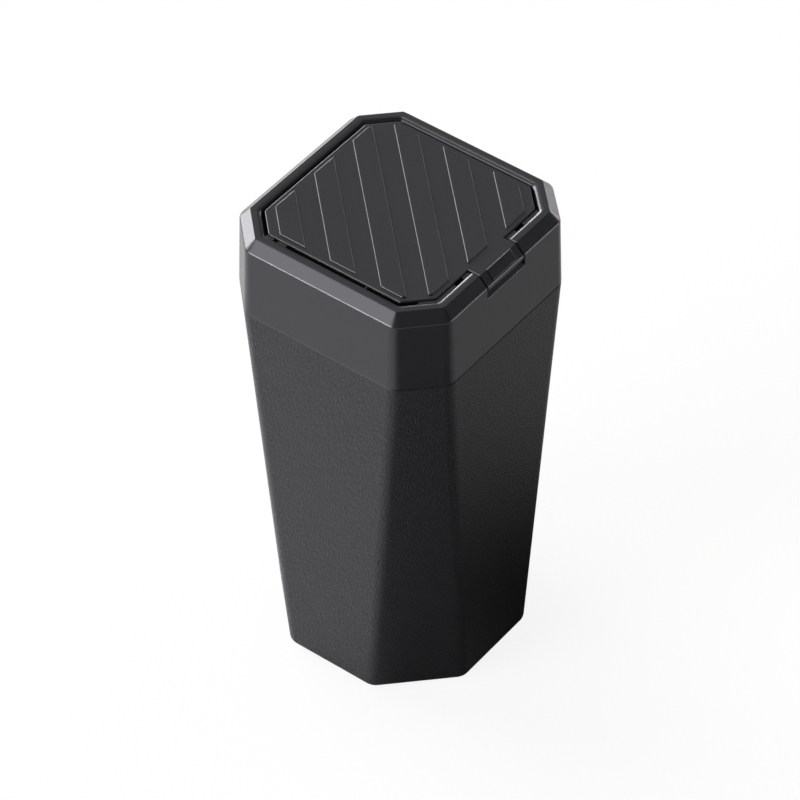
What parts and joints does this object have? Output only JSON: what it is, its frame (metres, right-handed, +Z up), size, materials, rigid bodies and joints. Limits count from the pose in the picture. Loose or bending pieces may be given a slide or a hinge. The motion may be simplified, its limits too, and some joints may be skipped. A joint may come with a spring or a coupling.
{
  "type": "car trash bin",
  "caption": "Tapered octagonal bin with a lift-off collar, a flush striped lid on side pivots and a finger tongue with a recess below it.",
  "frame": {"origin": "centre of the bounding box at the underside of the base pad", "axes": "+Z up along the bin, -Y towards the lid's finger tongue, +Y towards the pivots' end, +X to the right seen from the front"},
  "size_m": [0.0854, 0.0854, 0.1804],
  "materials": {
    "grained_plastic": "black moulded plastic with a fine leather-like grain",
    "satin_plastic": "smooth satin black moulded plastic",
    "ring_plastic": "plain black moulded plastic",
    "pad_rubber": "matte black soft rubber",
    "pin_steel": "bright drawn steel"
  },
  "bodies": {
    "bin": {"bin_body": "grained_plastic", "base_pad": "pad_rubber", "bag_ring": "ring_plastic"},
    "collar": {"collar_frame": "satin_plastic", "rest_pad_left": "pad_rubber", "rest_pad_right": "pad_rubber"},
    "lid": {"lid_panel": "satin_plastic", "pivot_pin_left": "pin_steel", "pivot_pin_right": "pin_steel"}
  },
  "joints": [
    {"name": "collar_lift", "type": "slide", "parent": "bin", "child": "collar", "axis": [0, 0, 1], "range_m": [0, 0.06]},
    {"name": "lid_hinge", "type": "hinge", "parent": "collar", "child": "lid", "pos_m": [0, 0.0226, 0.177], "axis": [-1, 0, 0], "range_deg": [0, 95]}
  ]
}
